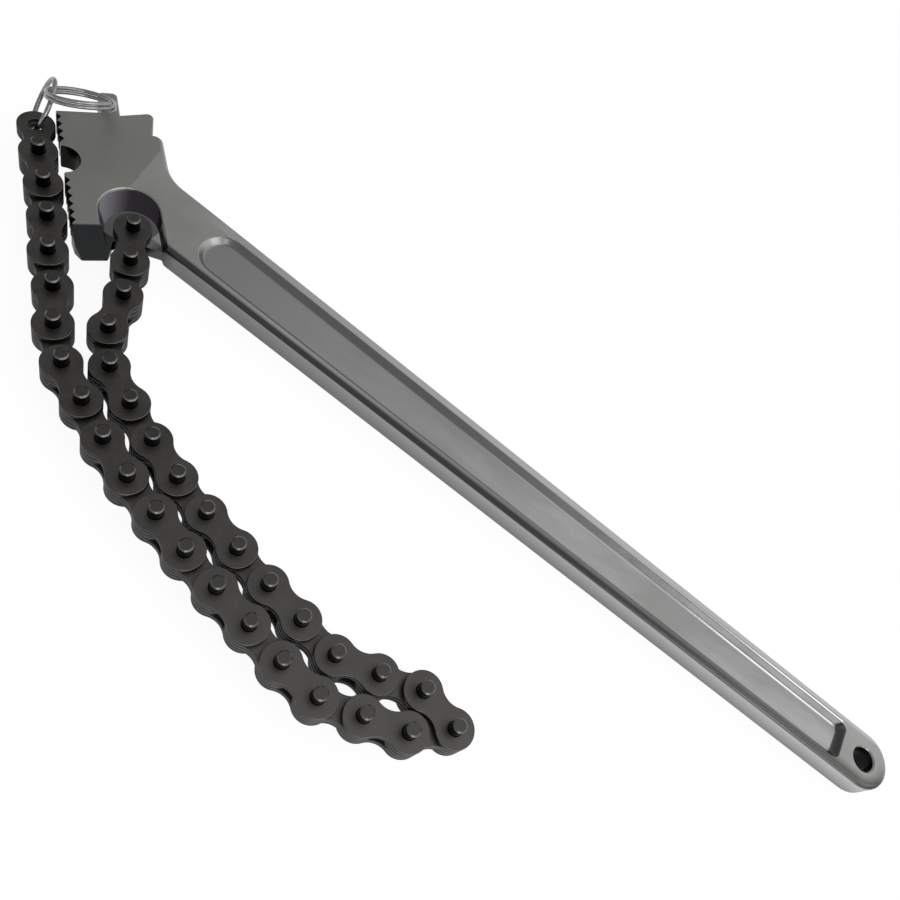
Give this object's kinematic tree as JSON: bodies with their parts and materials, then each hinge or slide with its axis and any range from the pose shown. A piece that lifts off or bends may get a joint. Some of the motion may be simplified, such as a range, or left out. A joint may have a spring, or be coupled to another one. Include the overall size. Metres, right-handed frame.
{
  "type": "chain wrench",
  "caption": "One-piece forged handle with a toothed jaw and a plate chain that hinges in the head and ends in a wire ring.",
  "frame": {"origin": "centre of the hanging hole, half way through the handle's thickness", "axes": "+X along the handle to the head, +Y towards the side the chain hangs on, +Z out of the face, along the chain's hinge pins"},
  "size_m": [0.3442, 0.1221, 0.0257],
  "materials": {
    "forged_steel": "satin plated forging",
    "dark_plate": "dark oxide",
    "dark_pin": "dark oxide, worn tips",
    "nickel_wire": "nickel plated"
  },
  "bodies": {
    "handle": {"handle": "forged_steel"},
    "outer_link_01": {"outer_plates_01": "dark_plate", "link_pins_01": "dark_pin"},
    "inner_link_01": {"inner_plates_01": "dark_plate"},
    "outer_link_02": {"outer_plates_02": "dark_plate", "link_pins_02": "dark_pin"},
    "inner_link_02": {"inner_plates_02": "dark_plate"},
    "outer_link_03": {"outer_plates_03": "dark_plate", "link_pins_03": "dark_pin"},
    "inner_link_03": {"inner_plates_03": "dark_plate"},
    "outer_link_04": {"outer_plates_04": "dark_plate", "link_pins_04": "dark_pin"},
    "inner_link_04": {"inner_plates_04": "dark_plate"},
    "outer_link_05": {"outer_plates_05": "dark_plate", "link_pins_05": "dark_pin"},
    "inner_link_05": {"inner_plates_05": "dark_plate"},
    "outer_link_06": {"outer_plates_06": "dark_plate", "link_pins_06": "dark_pin"},
    "inner_link_06": {"inner_plates_06": "dark_plate"},
    "outer_link_07": {"outer_plates_07": "dark_plate", "link_pins_07": "dark_pin"},
    "inner_link_07": {"inner_plates_07": "dark_plate"},
    "outer_link_08": {"outer_plates_08": "dark_plate", "link_pins_08": "dark_pin"},
    "inner_link_08": {"inner_plates_08": "dark_plate"},
    "outer_link_09": {"outer_plates_09": "dark_plate", "link_pins_09": "dark_pin"},
    "inner_link_09": {"inner_plates_09": "dark_plate"},
    "outer_link_10": {"outer_plates_10": "dark_plate", "link_pins_10": "dark_pin"},
    "inner_link_10": {"inner_plates_10": "dark_plate"},
    "outer_link_11": {"outer_plates_11": "dark_plate", "link_pins_11": "dark_pin"},
    "inner_link_11": {"inner_plates_11": "dark_plate"},
    "outer_link_12": {"outer_plates_12": "dark_plate", "link_pins_12": "dark_pin"},
    "inner_link_12": {"inner_plates_12": "dark_plate"},
    "outer_link_13": {"outer_plates_13": "dark_plate", "link_pins_13": "dark_pin"},
    "inner_link_13": {"inner_plates_13": "dark_plate"},
    "outer_link_14": {"outer_plates_14": "dark_plate", "link_pins_14": "dark_pin"},
    "inner_link_14": {"inner_plates_14": "dark_plate"},
    "outer_link_15": {"outer_plates_15": "dark_plate", "link_pins_15": "dark_pin"},
    "inner_link_15": {"inner_plates_15": "dark_plate"},
    "outer_link_16": {"outer_plates_16": "dark_plate", "link_pins_16": "dark_pin"},
    "inner_link_16": {"inner_plates_16": "dark_plate"},
    "outer_link_17": {"outer_plates_17": "dark_plate", "link_pins_17": "dark_pin"},
    "inner_link_17": {"inner_plates_17": "dark_plate"},
    "connector_ring": {"connector_ring": "nickel_wire"},
    "split_ring": {"split_ring": "nickel_wire"}
  },
  "joints": [
    {"name": "chain_pivot_01", "type": "hinge", "parent": "handle", "child": "outer_link_01", "pos_m": [0.27739, 0.01214, 0], "axis": [0, 0, 1], "range_deg": [0, 6]},
    {"name": "chain_pivot_02", "type": "hinge", "parent": "outer_link_01", "child": "inner_link_01", "pos_m": [0.2694, 0.02201, 0], "axis": [0, 0, -1], "range_deg": [-2, 0]},
    {"name": "chain_pivot_03", "type": "hinge", "parent": "inner_link_01", "child": "outer_link_02", "pos_m": [0.2623, 0.03254, 0], "axis": [0, 0, 1], "range_deg": [0, 2]},
    {"name": "chain_pivot_04", "type": "hinge", "parent": "outer_link_02", "child": "inner_link_02", "pos_m": [0.25713, 0.04414, 0], "axis": [0, 0, -1], "range_deg": [-2, 0]},
    {"name": "chain_pivot_05", "type": "hinge", "parent": "inner_link_02", "child": "outer_link_03", "pos_m": [0.24815, 0.05312, 0], "axis": [0, 0, 1], "range_deg": [0, 3]},
    {"name": "chain_pivot_06", "type": "hinge", "parent": "outer_link_03", "child": "inner_link_03", "pos_m": [0.23646, 0.05808, 0], "axis": [0, 0, -1], "range_deg": [-3, 0]},
    {"name": "chain_pivot_07", "type": "hinge", "parent": "inner_link_03", "child": "outer_link_04", "pos_m": [0.2246, 0.06263, 0], "axis": [0, 0, 1], "range_deg": [0, 3]},
    {"name": "chain_pivot_08", "type": "hinge", "parent": "outer_link_04", "child": "inner_link_04", "pos_m": [0.21253, 0.06656, 0], "axis": [0, 0, -1], "range_deg": [-4, 0]},
    {"name": "chain_pivot_09", "type": "hinge", "parent": "inner_link_04", "child": "outer_link_05", "pos_m": [0.20015, 0.06941, 0], "axis": [0, 0, 1], "range_deg": [0, 4]},
    {"name": "chain_pivot_10", "type": "hinge", "parent": "outer_link_05", "child": "inner_link_05", "pos_m": [0.18768, 0.07183, 0], "axis": [0, 0, -1], "range_deg": [-5, 0]},
    {"name": "chain_pivot_11", "type": "hinge", "parent": "inner_link_05", "child": "outer_link_06", "pos_m": [0.17522, 0.07426, 0], "axis": [0, 0, 1], "range_deg": [0, 6]},
    {"name": "chain_pivot_12", "type": "hinge", "parent": "outer_link_06", "child": "inner_link_06", "pos_m": [0.16267, 0.07624, 0], "axis": [0, 0, -1], "range_deg": [-8, 0]},
    {"name": "chain_pivot_13", "type": "hinge", "parent": "inner_link_06", "child": "outer_link_07", "pos_m": [0.1501, 0.07801, 0], "axis": [0, 0, 1], "range_deg": [0, 10]},
    {"name": "chain_pivot_14", "type": "hinge", "parent": "outer_link_07", "child": "inner_link_07", "pos_m": [0.13783, 0.07473, 0], "axis": [0, 0, -1], "range_deg": [-12, 0]},
    {"name": "chain_pivot_15", "type": "hinge", "parent": "inner_link_07", "child": "outer_link_08", "pos_m": [0.12575, 0.0708, 0], "axis": [0, 0, 1], "range_deg": [0, 15]},
    {"name": "chain_pivot_16", "type": "hinge", "parent": "outer_link_08", "child": "inner_link_08", "pos_m": [0.11338, 0.07366, 0], "axis": [0, 0, -1], "range_deg": [-80, 0]},
    {"name": "chain_pivot_17", "type": "hinge", "parent": "inner_link_08", "child": "outer_link_09", "pos_m": [0.12296, 0.08199, 0], "axis": [0, 0, 1], "range_deg": [0, 24]},
    {"name": "chain_pivot_18", "type": "hinge", "parent": "outer_link_09", "child": "inner_link_09", "pos_m": [0.13504, 0.08591, 0], "axis": [0, 0, -1], "range_deg": [-24, 0]},
    {"name": "chain_pivot_19", "type": "hinge", "parent": "inner_link_09", "child": "outer_link_10", "pos_m": [0.14725, 0.08941, 0], "axis": [0, 0, 1], "range_deg": [0, 24]},
    {"name": "chain_pivot_20", "type": "hinge", "parent": "outer_link_10", "child": "inner_link_10", "pos_m": [0.15988, 0.08809, 0], "axis": [0, 0, -1], "range_deg": [-24, 0]},
    {"name": "chain_pivot_21", "type": "hinge", "parent": "inner_link_10", "child": "outer_link_11", "pos_m": [0.17235, 0.08566, 0], "axis": [0, 0, 1], "range_deg": [0, 24]},
    {"name": "chain_pivot_22", "type": "hinge", "parent": "outer_link_11", "child": "inner_link_11", "pos_m": [0.18485, 0.08346, 0], "axis": [0, 0, -1], "range_deg": [-24, 0]},
    {"name": "chain_pivot_23", "type": "hinge", "parent": "inner_link_11", "child": "outer_link_12", "pos_m": [0.19732, 0.08104, 0], "axis": [0, 0, 1], "range_deg": [0, 24]},
    {"name": "chain_pivot_24", "type": "hinge", "parent": "outer_link_12", "child": "inner_link_12", "pos_m": [0.20964, 0.07796, 0], "axis": [0, 0, -1], "range_deg": [-24, 0]},
    {"name": "chain_pivot_25", "type": "hinge", "parent": "inner_link_12", "child": "outer_link_13", "pos_m": [0.22197, 0.07489, 0], "axis": [0, 0, 1], "range_deg": [0, 24]},
    {"name": "chain_pivot_26", "type": "hinge", "parent": "outer_link_13", "child": "inner_link_13", "pos_m": [0.23397, 0.07076, 0], "axis": [0, 0, -1], "range_deg": [-24, 0]},
    {"name": "chain_pivot_27", "type": "hinge", "parent": "inner_link_13", "child": "outer_link_14", "pos_m": [0.24575, 0.066, 0], "axis": [0, 0, 1], "range_deg": [0, 24]},
    {"name": "chain_pivot_28", "type": "hinge", "parent": "outer_link_14", "child": "inner_link_14", "pos_m": [0.25744, 0.06104, 0], "axis": [0, 0, -1], "range_deg": [-24, 0]},
    {"name": "chain_pivot_29", "type": "hinge", "parent": "inner_link_14", "child": "outer_link_15", "pos_m": [0.26771, 0.05357, 0], "axis": [0, 0, 1], "range_deg": [0, 24]},
    {"name": "chain_pivot_30", "type": "hinge", "parent": "outer_link_15", "child": "inner_link_15", "pos_m": [0.2767, 0.04459, 0], "axis": [0, 0, -1], "range_deg": [-24, 0]},
    {"name": "chain_pivot_31", "type": "hinge", "parent": "inner_link_15", "child": "outer_link_16", "pos_m": [0.28642, 0.03643, 0], "axis": [0, 0, 1], "range_deg": [0, 24]},
    {"name": "chain_pivot_32", "type": "hinge", "parent": "outer_link_16", "child": "inner_link_16", "pos_m": [0.29556, 0.02761, 0], "axis": [0, 0, -1], "range_deg": [-24, 0]},
    {"name": "chain_pivot_33", "type": "hinge", "parent": "inner_link_16", "child": "outer_link_17", "pos_m": [0.30514, 0.01927, 0], "axis": [0, 0, 1], "range_deg": [0, 24]},
    {"name": "chain_pivot_34", "type": "hinge", "parent": "outer_link_17", "child": "inner_link_17", "pos_m": [0.31501, 0.01128, 0], "axis": [0, 0, -1], "range_deg": [-24, 0]},
    {"name": "connector_swing", "type": "hinge", "parent": "inner_link_17", "child": "connector_ring", "pos_m": [0.32446, 0.00285, 0], "axis": [0, 0, 1], "range_deg": [-5, 45]},
    {"name": "split_ring_swing", "type": "hinge", "parent": "connector_ring", "child": "split_ring", "pos_m": [0.32649, -0.00703, 0.01067], "axis": [-0.4913, 0.8574, -0.1531], "range_deg": [0, 25]}
  ]
}
